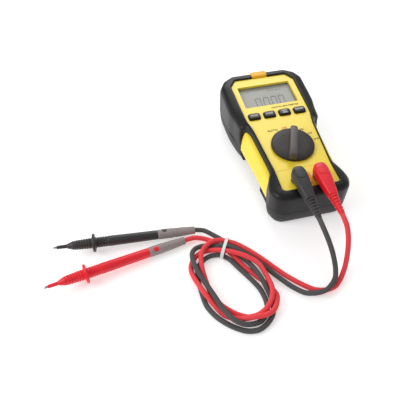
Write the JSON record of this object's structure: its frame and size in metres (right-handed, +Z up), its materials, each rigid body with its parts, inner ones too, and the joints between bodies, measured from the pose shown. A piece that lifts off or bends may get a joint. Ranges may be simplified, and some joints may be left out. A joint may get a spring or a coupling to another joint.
{
  "type": "digital multimeter",
  "caption": "Handheld digital multimeter in a rubber-edged case with display, buttons, rotary range knob, folding stand and two test leads with needle probes.",
  "frame": {"origin": "centre of the underside of the meter, on the table it lies on", "axes": "+Z up out of the front panel, +Y towards the display end, +X to the user's right"},
  "size_m": [0.2655, 0.2483, 0.0465],
  "materials": {
    "yellow_case": "moulded, fine satin",
    "rear_case": "moulded, fine texture",
    "rubber": "satin overmould",
    "rear_rubber": "satin overmould, lighter",
    "window": "clear polished",
    "lcd": "grey reflective display",
    "white_plastic": "moulded",
    "diffuser": "milky",
    "elastomer": "matte",
    "circuit_board": "solder mask",
    "chip": "moulded epoxy",
    "components": "mixed small parts",
    "silicone": "matte",
    "button": "satin",
    "knob": "fine satin",
    "gold_contact": "plated",
    "steel": "bright",
    "brass": "machined",
    "ceramic": "glazed ceramic",
    "amber": "translucent",
    "led": "clear tinted",
    "battery": "sleeved can",
    "screw": "dark zinc",
    "stand": "moulded, fine texture",
    "black_lead_plastic": "satin vinyl",
    "red_lead_plastic": "satin vinyl",
    "plated_pin": "nickel plated",
    "black_cord": "satin silicone",
    "red_cord": "satin silicone",
    "grey_sleeve": "warm grey satin",
    "needle": "polished",
    "tie": "paper-plastic strip"
  },
  "bodies": {
    "root": {"front_case": "yellow_case", "rear_case": "rear_case", "front_rubber_frame": "rubber", "rear_bumper_top": "rear_rubber", "rear_bumper_bottom": "rear_rubber", "display_window": "window", "lcd_glass": "lcd", "lcd_holder": "white_plastic", "backlight": "diffuser", "zebra_strips": "elastomer", "main_board": "circuit_board", "meter_chip": "chip", "board_parts": "components", "button_pad": "silicone", "jack_common": "brass", "jack_volts": "brass", "fuse": "ceramic", "fuse_clips": "steel", "buzzer": "chip", "amber_lens": "amber", "alert_led": "led", "battery_left": "battery", "battery_right": "battery", "battery_contacts": "steel", "battery_cover": "rear_case", "cover_screw": "screw", "case_screws": "screw", "board_screws": "screw", "black_lead": "black_cord", "black_probe_body": "black_lead_plastic", "black_probe_sleeve": "grey_sleeve", "black_probe_needle": "needle", "red_lead": "red_cord", "red_probe_body": "red_lead_plastic", "red_probe_sleeve": "grey_sleeve", "red_probe_needle": "needle", "twist_tie": "tie"},
    "knob": {"knob": "knob", "switch_rotor": "white_plastic", "switch_contacts": "gold_contact", "detent_springs": "steel", "detent_balls": "steel"},
    "button_1": {"button_1": "button"},
    "button_2": {"button_2": "button"},
    "button_3": {"button_3": "button"},
    "button_4": {"button_4": "button"},
    "stand": {"tilt_stand": "stand"},
    "black_plug": {"black_plug": "black_lead_plastic", "black_plug_pin": "plated_pin", "black_plug_relief": "black_lead_plastic"},
    "red_plug": {"red_plug": "red_lead_plastic", "red_plug_pin": "plated_pin", "red_plug_relief": "red_lead_plastic"}
  },
  "joints": [
    {"name": "knob_turn", "type": "hinge", "parent": "root", "child": "knob", "pos_m": [0, -0.0235, 0.03596], "axis": [0, -0.061, 0.9981], "range_deg": [-60, 40]},
    {"name": "button_1_press", "type": "slide", "parent": "root", "child": "button_1", "axis": [0, 0.061, -0.9981], "range_m": [0, 0.001], "stiffness_N_per_m": 300},
    {"name": "button_2_press", "type": "slide", "parent": "root", "child": "button_2", "axis": [0, 0.061, -0.9981], "range_m": [0, 0.001], "stiffness_N_per_m": 300},
    {"name": "button_3_press", "type": "slide", "parent": "root", "child": "button_3", "axis": [0, 0.061, -0.9981], "range_m": [0, 0.001], "stiffness_N_per_m": 300},
    {"name": "button_4_press", "type": "slide", "parent": "root", "child": "button_4", "axis": [0, 0.061, -0.9981], "range_m": [0, 0.001], "stiffness_N_per_m": 300},
    {"name": "stand_swing", "type": "hinge", "parent": "root", "child": "stand", "pos_m": [0, 0.042, 0.0033], "axis": [1, 0, 0], "range_deg": [0, 70]},
    {"name": "black_plug_pull", "type": "slide", "parent": "root", "child": "black_plug", "axis": [0, -0.061, 0.9981], "range_m": [0, 0.022]},
    {"name": "red_plug_pull", "type": "slide", "parent": "root", "child": "red_plug", "axis": [0, -0.061, 0.9981], "range_m": [0, 0.022]}
  ]
}
